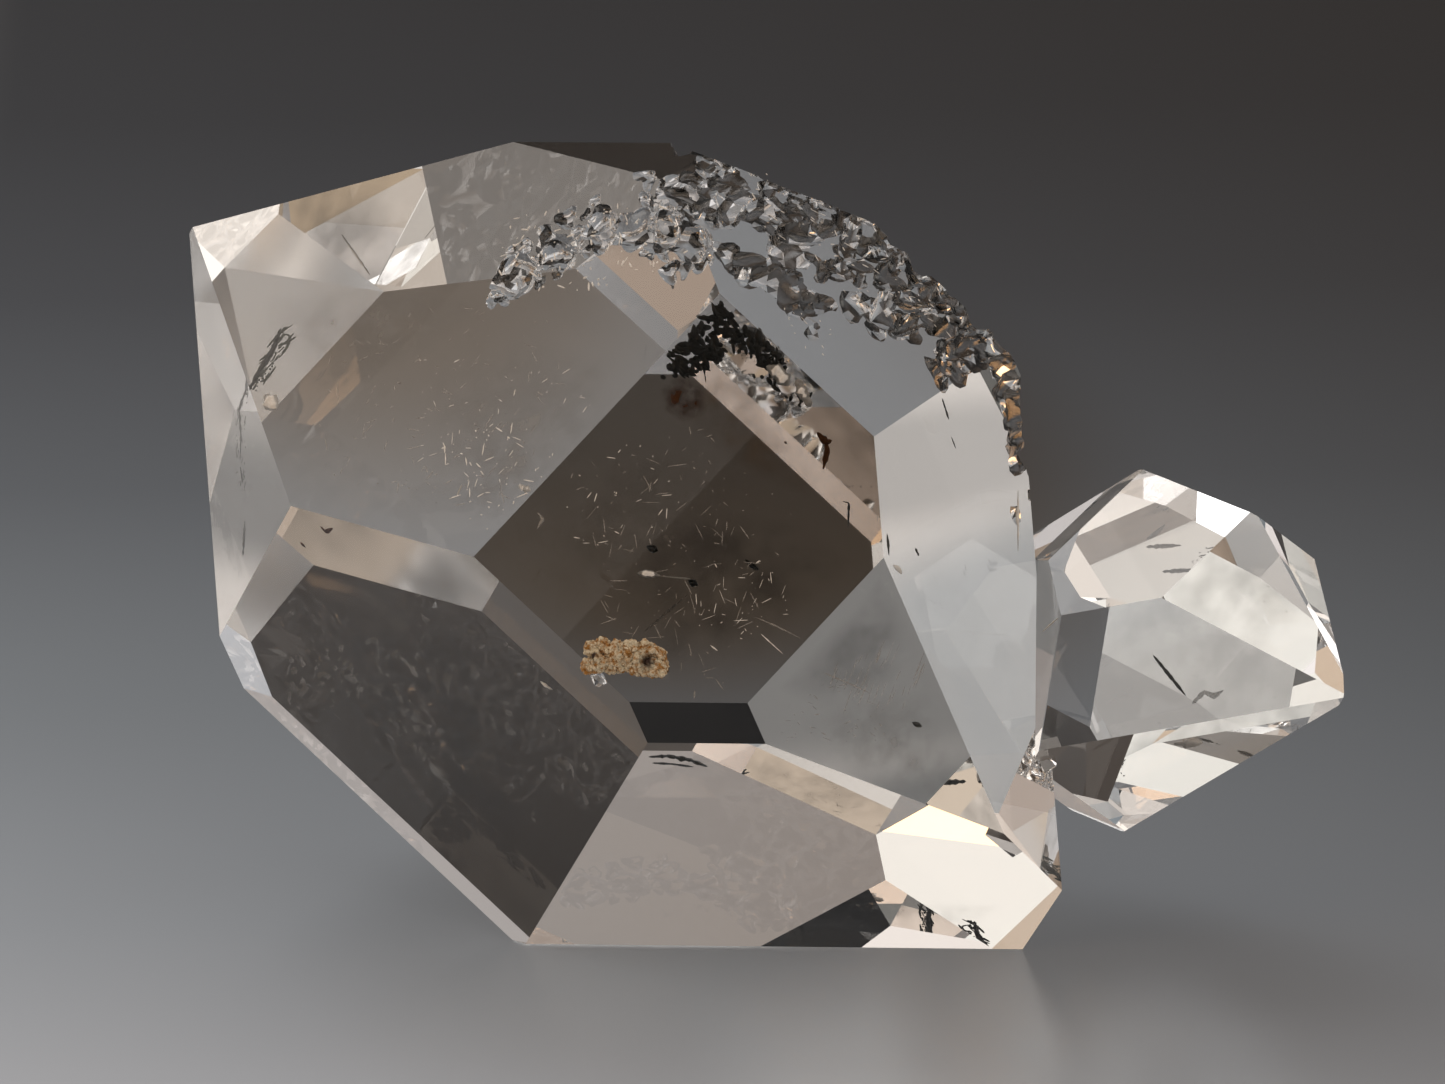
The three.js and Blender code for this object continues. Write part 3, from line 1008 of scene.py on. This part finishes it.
@dataclass
class Marks:
    """All threads, flecks and blots of one finish."""

    piece: str
    finish: Filling
    threads: tuple[Thread, ...] = ()
    flecks: tuple[Flecks, ...] = ()
    blots: tuple[Blot, ...] = ()
    step: float = 0.04 * MM
    sides: int = 6
    raggedness: float = 2.0  # of the waves along a thread
    wave: float = 0.12 * MM
    taper: float = 0.5
    fades: tuple[float, float, float] = (1.0, 0.75, 0.0)  # middle, ring and outline of a blot
    ring: float = 0.55  # how far out a blot's ring is
    short: float = 2.5  # how much more common short flecks are
    breadth: tuple[float, float] = (0.5, 1.2)  # of a field's width
    flatness: float = 0.5
    seed: int = 4

    def build(self) -> list[Object]:
        """Makes the pieces.

        Returns:
            The pieces.
        """
        material = self.finish.build()
        made = [build(material) for marks, build in (
            (self.threads, self.build_threads), (self.flecks, self.build_flecks),
            (self.blots, self.build_blots)) if marks]
        for piece in made:
            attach(piece, "root")
        return made

    def places(self, mark: Thread | Flecks | Blot) -> list[Vector]:
        """Finds where the pixels of a mark are."""
        face = face_plane(mark.face)
        return [VIEW.place(pixel, face, mark.depth * MM) for pixel in mark.path_px]

    def build_blots(self, material: Material) -> Object:
        """Draws each blot as a fan of triangles that fades from its middle to its outline.

        Args:
            material: The marks' material.

        Returns:
            The piece.
        """
        points, faces, fades = [], [], []
        for blot in self.blots:
            start, edge = len(points), self.places(blot)
            count = len(edge)
            middle = sum(edge, Vector()) / count
            points += [middle, *(middle.lerp(corner, self.ring) for corner in edge), *edge]
            fades += [self.fades[0], *[self.fades[1]] * count, *[self.fades[2]] * count]
            for i in range(count):
                one, other = start + 1 + i, start + 1 + (i + 1) % count
                faces += [(start, one, other), (one, one + count, other + count, other)]
        piece = draw(f"{self.piece}_blots", points, [], faces, fade=fades)
        piece.data.materials.append(material)
        log.info("%s: %d faces", piece.name, len(faces))
        return piece

    def build_threads(self, material: Material) -> Object:
        """Draws each thread as a ragged tube that thins towards its ends.

        Args:
            material: The marks' material.

        Returns:
            The piece.
        """
        points, edges, widths = [], [], []
        for thread in self.threads:
            start = len(points)
            points += self.places(thread)
            edges += [(i, i + 1) for i in range(start, len(points) - 1)]
            widths += [thread.width * MM / 2] * len(thread.path_px)
        lines = draw("thread_lines", points, edges, [], half_width=widths)
        tree = ShapeTree("threads", {
            "Step": self.step, "Sides": self.sides, "Raggedness": self.raggedness})
        given = tree.given
        line = tree.add("MeshToCurve", {0: given["Geometry"]})
        steps = tree.add("ResampleCurve", {0: line, "Length": given["Step"]}, mode="LENGTH")
        waves = tree.add("TexNoise", {"Scale": 1 / self.wave, "Detail": 1.0})
        width = tree.add("InputNamedAttribute", {"Name": "half_width"}, data_type="FLOAT")
        along = tree.add("SplineParameter").outputs["Factor"]

        # The radius follows half a sine wave along the thread, and noise makes it ragged
        sums = {"along": along, "waves": waves, "width": width, "ragged": given["Raggedness"]}
        for name, operation, one, other in (
                ("turned", "MULTIPLY", "along", pi), ("bulge", "SINE", "turned", 0.0),
                ("taper", "POWER", "bulge", self.taper), ("wave", "SUBTRACT", "waves", 0.5),
                ("rise", "MULTIPLY", "wave", "ragged"), ("swell", "ADD", "rise", 1.0),
                ("thin", "MULTIPLY", "width", "taper"), ("radius", "MULTIPLY", "thin", "swell")):
            sums[name] = tree.add("Math", {0: sums[one], 1: sums.get(other, other)},
                                  operation=operation)
        profile = tree.add("CurvePrimitiveCircle", {"Resolution": given["Sides"], "Radius": 1.0})
        tube = tree.add("CurveToMesh", {
            0: steps, 1: profile, "Scale": sums["radius"], "Fill Caps": True})
        return tree.finish(tube, lines, f"{self.piece}_threads", material)

    def build_flecks(self, material: Material) -> Object:
        """Scatters each field's flecks over its outline.

        Args:
            material: The marks' material.

        Returns:
            The piece.
        """
        points, rings, runs = [], [], []
        values = {"density": [], "least": [], "most": [], "breadth": [], "spread": []}
        for area in self.flecks:
            ring = self.places(area)
            rings.append(tuple(range(len(points), len(points) + len(ring))))
            points += ring
            size = sum(((one - ring[0]).cross(other - ring[0]) / 2
                        for one, other in zip(ring[1:], ring[2:])), Vector()).length
            ahead = tuple(a + b for a, b in zip(area.path_px[0], area.direction_px))
            run = VIEW.place(ahead, face_plane(area.face), area.depth * MM) - ring[0]
            runs.extend(run.normalized())
            for name, value in (
                    ("density", area.count / size), ("least", area.length[0] * MM / 2),
                    ("most", area.length[1] * MM / 2), ("breadth", area.width * MM / 2),
                    ("spread", radians(area.spread))):
                values[name].append(value)
        fields = draw("fleck_fields", points, [], rings, "FACE", **values)
        kept = fields.data.attributes.new("run", "FLOAT_VECTOR", "FACE")
        kept.data.foreach_set("vector", runs)
        tree = ShapeTree("flecks", {"Seed": self.seed})
        given = tree.given
        density, least, most, breadth, spread, run = (
            tree.add("InputNamedAttribute", {"Name": name}, data_type=kind)
            for name, kind in (*((name, "FLOAT") for name in values), ("run", "FLOAT_VECTOR")))
        side, chance, plump = (
            tree.add("RandomValue", {2: low, 3: high, "Seed": seed}, data_type="FLOAT")
            for seed, low, high in ((5, -1.0, 1.0), (6, 0.0, 1.0), (7, *self.breadth)))
        spots = tree.add("DistributePointsOnFaces", {
            "Mesh": given["Geometry"], "Density": density, "Seed": given["Seed"]},
            distribute_method="RANDOM")
        upright = tree.add("AlignRotationToVector", {"Vector": spots.outputs["Normal"]},
                           axis="Z")
        lengthwise = tree.add("AlignRotationToVector", {"Rotation": upright, "Vector": run},
                              axis="X", pivot_axis="Z")
        angle, shortness, width = (
            tree.add("Math", {0: one, 1: other}, operation=operation)
            for operation, one, other in (
                ("MULTIPLY", spread, side), ("POWER", chance, self.short),
                ("MULTIPLY", breadth, plump)))
        swing = tree.add("AxisAngleToRotation", {"Axis": (0.0, 0.0, 1.0), "Angle": angle})
        turned = tree.add("RotateRotation", {0: lengthwise, 1: swing}, rotation_space="LOCAL")
        length = tree.add("MapRange", {0: shortness, 3: least, 4: most})
        height = tree.add("Math", {0: width, 1: self.flatness}, operation="MULTIPLY")
        grain = tree.add("MeshIcoSphere", {"Radius": 1.0, "Subdivisions": 1})
        flecks = tree.add("InstanceOnPoints", {
            "Points": spots, "Instance": grain, "Rotation": turned,
            "Scale": tree.add("CombineXYZ", {0: length, 1: width, 2: height})})
        return tree.finish(flecks, fields, f"{self.piece}_flecks", material)


MARKS = (
    Marks("black_veil", ANTHRAXOLITE, threads=(
        Thread(UPPER, ((281, 328), (272, 352), (260, 370), (252, 384)), 0.16, 0.6),
        Thread(LEFT, ((247, 386), (239, 410), (241, 436), (240, 462)), 0.12, 0.6),
        Thread(LEFT, ((240, 466), (243, 484)), 0.09, 0.6),
        Thread(LEFT, ((245, 520), (243, 556)), 0.14, 0.6),
        Thread("side near0", ((1153, 655), (1186, 696)), 0.09, 0.3),
        Thread(FRONT, ((842, 501), (849, 503), (848, 528)), 0.045, 0.1),
        Thread(FRONT, ((707, 345), (703, 362), (706, 383)), 0.05, 0.15),
        Thread(FRONT, ((646, 546), (658, 551)), 0.16, 0.1),
        Thread(FRONT, ((688, 580), (698, 586)), 0.14, 0.1),
        Thread(FRONT, ((745, 559), (751, 565), (759, 570)), 0.09, 0.1),
        Thread(RIGHT, ((942, 398), (949, 420)), 0.07, 0.05),
        Thread(RIGHT, ((951, 436), (956, 449)), 0.04, 0.05),
        Thread(RIGHT, ((887, 533), (889, 556)), 0.08, 0.02),
        Thread(RIGHT, ((915, 548), (919, 556)), 0.08, 0.02),
        Thread(LOWER, ((912, 722), (922, 727)), 0.09, 0.02),
        Thread(FOOT, ((648, 757), (668, 756), (690, 760), (708, 767)), 0.14, 0.05),
        Thread(FOOT, ((652, 763), (672, 764), (694, 767)), 0.10, 0.05),
    ), flecks=(
        Flecks(FRONT, ((721, 303), (786, 362), (772, 372), (745, 350), (706, 366), (686, 380),
                       (662, 378), (668, 356)), 210, (0.12, 0.50), 0.13, (1, 0.9), 60, 0.12),
        Flecks(FRONT, ((745, 330), (822, 402), (806, 410), (752, 375)), 30, (0.1, 0.3), 0.10,
               (0.3, 1), 40, 0.12),
    )),
    Marks("green_veil", GREEN_VEIL, flecks=(
        Flecks(UPPER, ((287, 325), (291, 342), (268, 378), (254, 388), (258, 366), (272, 340)),
               90, (0.05, 0.4), 0.07, (-1, 1.3), 30, 0.6),
        Flecks(LEFT, ((244, 388), (249, 390), (246, 430), (245, 490), (237, 492), (235, 420)),
               60, (0.04, 0.3), 0.05, (-0.1, 1), 30, 0.6),
    )),
    Marks("clay_skin", CLAY_SKIN, blots=(
        Blot(FRONT, ((668, 372), (700, 345), (748, 366), (772, 420), (822, 480), (812, 500),
                     (770, 486), (716, 452), (684, 418)), 0.25),
    )),
    Marks("rust_stain", RUST_STAIN, blots=(
        Blot(FRONT, ((660, 388), (680, 372), (704, 384), (708, 412), (684, 424), (664, 412)),
             0.2),
    )),
    Marks("brown_clay", IRON_CLAY, threads=(
        Thread(FRONT, ((817, 432), (826, 443), (832, 440)), 0.13, 0.1),
        Thread(FRONT, ((826, 436), (827, 452), (823, 470)), 0.10, 0.1),
        Thread(FRONT, ((784, 441), (787, 444)), 0.08, 0.1),
        Thread(FLANK, ((320, 526), (326, 532), (333, 528)), 0.09, 0.1),
        Thread(FLANK, ((300, 542), (306, 548)), 0.07, 0.1),
    )),
    Marks("bright_crack", HEALED_CRACK_AND_PAINTED_GLINTS, threads=(
        Thread(FRONT, ((637, 573), (650, 574), (661, 576)), 0.15, 0.05),
        Thread(FRONT, ((660, 576), (691, 579)), 0.03, 0.05),
        Thread(FRONT, ((710, 645), (718, 651)), 0.03),
        Thread(FRONT, ((761, 634), (772, 644), (783, 654)), 0.025),
        Thread(FRONT, ((766, 366), (778, 372), (789, 386)), 0.28, 0.1),
        Thread(FRONT, ((797, 378), (802, 392), (811, 407)), 0.24, 0.1),
        Thread(UPPER, ((518, 485), (526, 489), (531, 491)), 0.16, 0.1),
        Thread(UPPER, ((462, 484), (457, 496)), 0.05, 0.05),
        Thread(RIGHT, ((893, 565), (899, 570), (902, 574)), 0.12, 0.02),
        Thread(RIGHT, ((1018, 490), (1018, 552)), 0.07, 0.02),
        Thread(LEFT, ((257, 398), (266, 410)), 0.30, 0.3),
        Thread("side far0", ((1058, 618), (1042, 632)), 0.06, 0.02),
        Thread(FLANK, ((540, 681), (548, 687), (553, 690)), 0.10, 0.02),
    ), flecks=(
        Flecks(UPPER, ((440, 432), (520, 425), (530, 490), (488, 530), (440, 500)), 60,
               (0.03, 0.34), 0.030, (1, 0.4), 70),
        Flecks(UPPER, ((420, 360), (560, 350), (600, 420), (520, 500), (420, 470)), 60,
               (0.02, 0.24), 0.022, (1, 0.4), 90),
        Flecks(FRONT, ((560, 480), (640, 430), (700, 470), (640, 560), (570, 540)), 30,
               (0.03, 0.26), 0.022, (1, -0.6), 60),
        # Painted glints: white flecks over the rough patch on the upper face
        Flecks(UPPER, ((498, 290), (505, 220), (600, 195), (676, 208), (690, 262), (590, 290)),
               110, (0.03, 0.30), 0.045, (1, -0.5), 90),
        # Painted glints: white flecks along the rough band on the back face
        Flecks(BACK, ((742, 215), (800, 260), (880, 320), (960, 350), (930, 290), (830, 205),
                      (760, 170)), 70, (0.03, 0.25), 0.035, (1, 0.7), 60),
        Flecks(FRONT, ((690, 560), (760, 560), (800, 600), (760, 640), (700, 640)), 44,
               (0.02, 0.36), 0.017, (1, -1.2), 70),
        Flecks(BACK, ((775, 300), (835, 325), (822, 362), (790, 335)), 16,
               (0.04, 0.14), 0.03, (1, 0.2), 90),
    )),
    Marks("faint_crack", FAINT_CRACK, threads=(
        Thread(FRONT, ((688, 594), (644, 632)), 0.05, 0.05),
        Thread(FRONT, ((755, 617), (776, 626), (800, 638)), 0.03),
        Thread(FRONT, ((695, 690), (694, 699)), 0.03),
        Thread(FRONT, ((537, 512), (543, 519), (537, 529)), 0.05),
        Thread(LOWER, ((822, 672), (850, 684), (872, 694)), 0.03),
        Thread("side near0", ((1192, 704), (1204, 692), (1214, 696), (1224, 690)), 0.12, 0.1),
    ), flecks=(
        Flecks(LOWER, ((830, 668), (885, 648), (925, 668), (905, 706), (832, 706)), 46,
               (0.25, 0.75), 0.018, (12, -30), 5),
        Flecks(LOWER, ((760, 722), (825, 672), (900, 720), (880, 740), (790, 745)), 40,
               (0.05, 0.25), 0.02, (1, 0.25), 40),
        Flecks(FRONT, ((560, 470), (700, 420), (800, 520), (720, 690), (600, 620)), 200,
               (0.02, 0.45), 0.02, (1, -0.7), 90),
        Flecks(UPPER, ((300, 380), (420, 300), (600, 320), (500, 520), (330, 480)), 180,
               (0.02, 0.45), 0.022, (1, 0.3), 90),
        Flecks(FLANK, ((400, 600), (520, 690), (540, 860), (440, 800), (330, 660)), 30,
               (0.04, 0.14), 0.02, (1, 0.3), 90),
    )),
    # Painted light: pale blots over faces, to lighten their tone
    Marks("bubble_veil", PAINTED_LIGHT_VEIL, blots=(
        Blot(UPPER, ((430, 380), (520, 340), (620, 350), (612, 416), (530, 505), (470, 535),
                     (425, 470)), 0.3),
        Blot(UPPER, ((470, 440), (520, 425), (540, 480), (500, 530), (465, 500)), 0.2),
        Blot(UPPER, ((250, 300), (380, 285), (500, 300), (440, 350), (310, 400)), 0.3),
        Blot(FRONT, ((550, 540), (600, 470), (660, 440), (740, 480), (720, 580), (620, 620)),
             0.3),
        Blot(LOWER, ((800, 730), (860, 690), (930, 690), (958, 770), (945, 805), (850, 775)),
             0.1),
    )),
    # Painted shade: dark blots over the lower faces, to darken their tone
    Marks("dark_veil", PAINTED_SHADE_VEIL, blots=(
        Blot(FRONT, ((600, 560), (680, 500), (800, 520), (860, 560), (760, 660), (640, 680)),
             0.35),
        Blot(LOWER, ((775, 690), (880, 575), (898, 600), (922, 650), (900, 680), (830, 715)),
             0.1),
        Blot(FLANK, ((300, 600), (430, 590), (560, 700), (540, 880), (440, 840), (320, 700)),
             0.3),
    )),
)


# The studio


@dataclass(frozen=True)
class SoftBox:
    """One soft light of the tent round the crystal.

    Heading 0 is away from the camera and 90 to the right, height is above the table, both in
    degrees. Reach is the angle from its middle to its soft edge.
    """

    heading: float
    height: float
    reach: float
    colour: str
    strength: float
    core: float = 0.3  # of the reach, at full strength

    def direction(self) -> Vector:
        """The direction from the crystal to the light."""
        a, e = radians(self.heading), radians(self.height)
        return Vector((sin(a) * cos(e), cos(a) * cos(e), sin(e)))


@dataclass(frozen=True)
class PaintedShade:
    """A painted shade: a soft oval of the floor, darkened towards its colour."""

    colour: str
    middle: Pixel
    half: Pixel
    core: float = 0.4  # of its half widths, at full depth


@dataclass(frozen=True)
class FloorPaper:
    """Matt pale paper with painted light and shade: a graduated strip behind the crystal, and
    painted shadows, the crystal's own among them.

    The crystal shows the strip in its dark faces, and the pale paper in the others.
    """

    pale: str = "#dedede"
    far: str = "#454649"
    # Painted shade: the pale paper darkens to the far colour away from the crystal
    pool: tuple[float, float] = (32 * MM, 130 * MM)
    strip_half: tuple[float, float] = (17.5 * MM, 26 * MM)
    strip_start: float = -30 * MM
    strip_length: float = 110 * MM
    # Painted shade: the strip darkens away from the camera, as the light falls off
    strip: tuple[tuple[float, str], ...] = (
        (0, "#d4d7dc"), (20, "#9da4ad"), (30, "#8a939d"), (45, "#6f7881"), (60, "#50575f"),
        (75, "#373c43"), (90, "#24282e"), (110, "#181b20"))
    roughness: float = 0.35
    slant: float = 0.022  # painted light: the strip is lighter on the left, by this much a millimetre
    slanted: float = 20.0  # as far as this to either side, in millimetres
    painted_shades: tuple[PaintedShade, ...] = (
        # Painted shadow of the crystal, on the floor behind it
        PaintedShade("#bc9b79", (-1.0 * MM, 28 * MM), (11 * MM, 21 * MM)),
        # Painted shade on the floor to either side, which the crystal mirrors and bends
        PaintedShade("#b0b0b2", (-29 * MM, 27 * MM), (9 * MM, 9 * MM)),
        PaintedShade("#505054", (54 * MM, 54 * MM), (26 * MM, 24 * MM)))

    def build(self) -> Material:
        """Makes the material.

        Returns:
            The material.
        """
        material, tree = new_material("floor_paper")
        where = tree.add("TexCoord").outputs["Object"]
        across, away = tree.add("SeparateXYZ", {0: where}).outputs[:2]
        aside = tree.add("Math", {0: across}, operation="ABSOLUTE")
        reach = tree.add("VectorMath", {0: where}, operation="LENGTH")
        edge, fade = (
            tree.add("MapRange", {0: value, 1: start, 2: end}, interpolation_type="SMOOTHSTEP")
            for value, (start, end) in ((aside, self.strip_half), (reach, self.pool)))
        ramp = tree.add("ValToRGB", {0: tree.add("MapRange", {
            0: away, 1: self.strip_start, 2: self.strip_start + self.strip_length})})
        stops = ramp.color_ramp.elements
        stops[0].color, stops[1].color = linear(self.strip[0][1]), linear(self.strip[-1][1])
        for at, colour in self.strip[1:-1]:
            stops.new(at * MM / self.strip_length).color = linear(colour)
        lean = self.slanted * self.slant
        slope = tree.add("MapRange", {
            0: across, 1: -self.slanted * MM, 2: self.slanted * MM, 3: 1 + lean, 4: 1 - lean})
        strip = tree.add("VectorMath", {0: ramp, "Scale": slope}, operation="SCALE")
        pale = tree.add("Mix", {0: fade, 6: linear(self.pale), 7: linear(self.far)},
                        data_type="RGBA")
        colour = tree.add("Mix", {0: edge, 6: strip, 7: pale}, data_type="RGBA")
        # Painted shadows: each oval darkens the paper towards its colour
        for shade in self.painted_shades:
            spot = tree.add("Mapping", {
                0: where, "Location": (*shade.middle, 0), "Scale": (*shade.half, 1)},
                vector_type="TEXTURE")
            inside = tree.add("VectorMath", {0: spot}, operation="LENGTH")
            depth = tree.add("MapRange", {0: inside, 1: 1.0, 2: shade.core},
                             interpolation_type="SMOOTHSTEP")
            tint = tree.add("Mix", {0: depth, 6: WHITE, 7: linear(shade.colour)},
                            data_type="RGBA")
            colour = tree.add("VectorMath", {0: colour, 1: tint}, operation="MULTIPLY")
        surface = tree.add("BsdfPrincipled", {
            "Base Color": colour, "Roughness": self.roughness, "Specular IOR Level": 0.5})
        tree.add("OutputMaterial", {"Surface": surface})
        return material


@dataclass
class Studio:
    """Floor and soft tent."""

    floor_size: float = 1600 * MM
    floor_height: float = -0.02 * MM  # a hair of air, as under a real crystal
    boxes: tuple[SoftBox, ...] = (
        SoftBox(-126, 16, 16, "#ffb65e", 2.30),
        SoftBox(-36, 13, 11, "#fffaf4", 1.10),
        SoftBox(-16, 5, 6, "#fff4e6", 0.80),
        SoftBox(47, 15, 10, "#fff8ee", 0.80),
        SoftBox(-98, 7, 53, "#fffcf4", 1.00),
        SoftBox(-60, 52, 38, "#fff8f2", 0.60),
        SoftBox(-20, 57, 26, "#ffffff", 1.60),
        SoftBox(68, 44, 36, "#f5f9ff", 0.76),
        SoftBox(129, 25, 35, "#fff6ec", 0.76),
        SoftBox(149, 24, 37, "#fff5ec", 0.85),
        SoftBox(-6, 74, 67, "#ffdbbc", 0.38),
        SoftBox(91, 15, 20, "#ffdfb8", 0.43),
        SoftBox(-30, 35, 31, "#94d9ff", 0.30),
        SoftBox(185, 66, 30, "#ffebd0", 0.35),
        SoftBox(-46, 12, 26, "#fffaf4", 1.20))
    darkness: float = 0.004

    def floor(self) -> Object:
        """Makes the floor, with its painted light and shade.

        Returns:
            The floor.
        """
        half = self.floor_size / 2
        corners = [(x * half, y * half, self.floor_height)
                   for x, y in ((-1, -1), (1, -1), (1, 1), (-1, 1))]
        floor = draw("floor", corners, [], [(0, 1, 2, 3)])
        floor.data.materials.append(FloorPaper().build())
        return floor

    def tent(self) -> None:
        """Lights the scene with soft boxes in every direction, as a tent does."""
        world = bpy.data.worlds.new("tent")
        world.use_nodes = True
        tree = Tree(world.node_tree)
        where = tree.add("TexCoord").outputs["Generated"]
        total = tree.add("RGB").outputs[0]
        total.default_value = (self.darkness, self.darkness, self.darkness, 1)
        for box in self.boxes:
            near = tree.add("VectorMath", {0: where, 1: box.direction()},
                            operation="DOT_PRODUCT")
            outer, inner = (cos(radians(box.reach * part)) for part in (1, box.core))
            glow = tree.add("MapRange", {0: near, 1: outer, 2: inner, 3: 0.0, 4: box.strength},
                            interpolation_type="SMOOTHSTEP")
            light = tree.add("VectorMath", {0: linear(box.colour)[:3], "Scale": glow},
                             operation="SCALE")
            total = tree.add("VectorMath", {0: total, 1: light}, operation="ADD")
        sky = tree.add("Background", {"Color": total, "Strength": 1.0})
        tree.add("OutputWorld", {"Surface": sky})
        bpy.context.scene.world = world


def main() -> None:
    """Builds the crystals, the crumb and the studio, and reports each piece."""
    logging.basicConfig(level=logging.INFO, format="%(message)s")
    Crystals().build(ClearQuartz())
    Crumb().build(DolomiteMatrix())
    for marks in MARKS:
        marks.build()
    studio = Studio()
    studio.floor()
    studio.tent()
    VIEW.place_camera()
    scene = bpy.context.scene
    scene.view_settings.view_transform = "Standard"
    scene.cycles.max_bounces = BOUNCES
    scene.cycles.transmission_bounces = BOUNCES
    scene.cycles.glossy_bounces = BOUNCES
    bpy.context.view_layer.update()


if __name__ == "__main__":
    main()
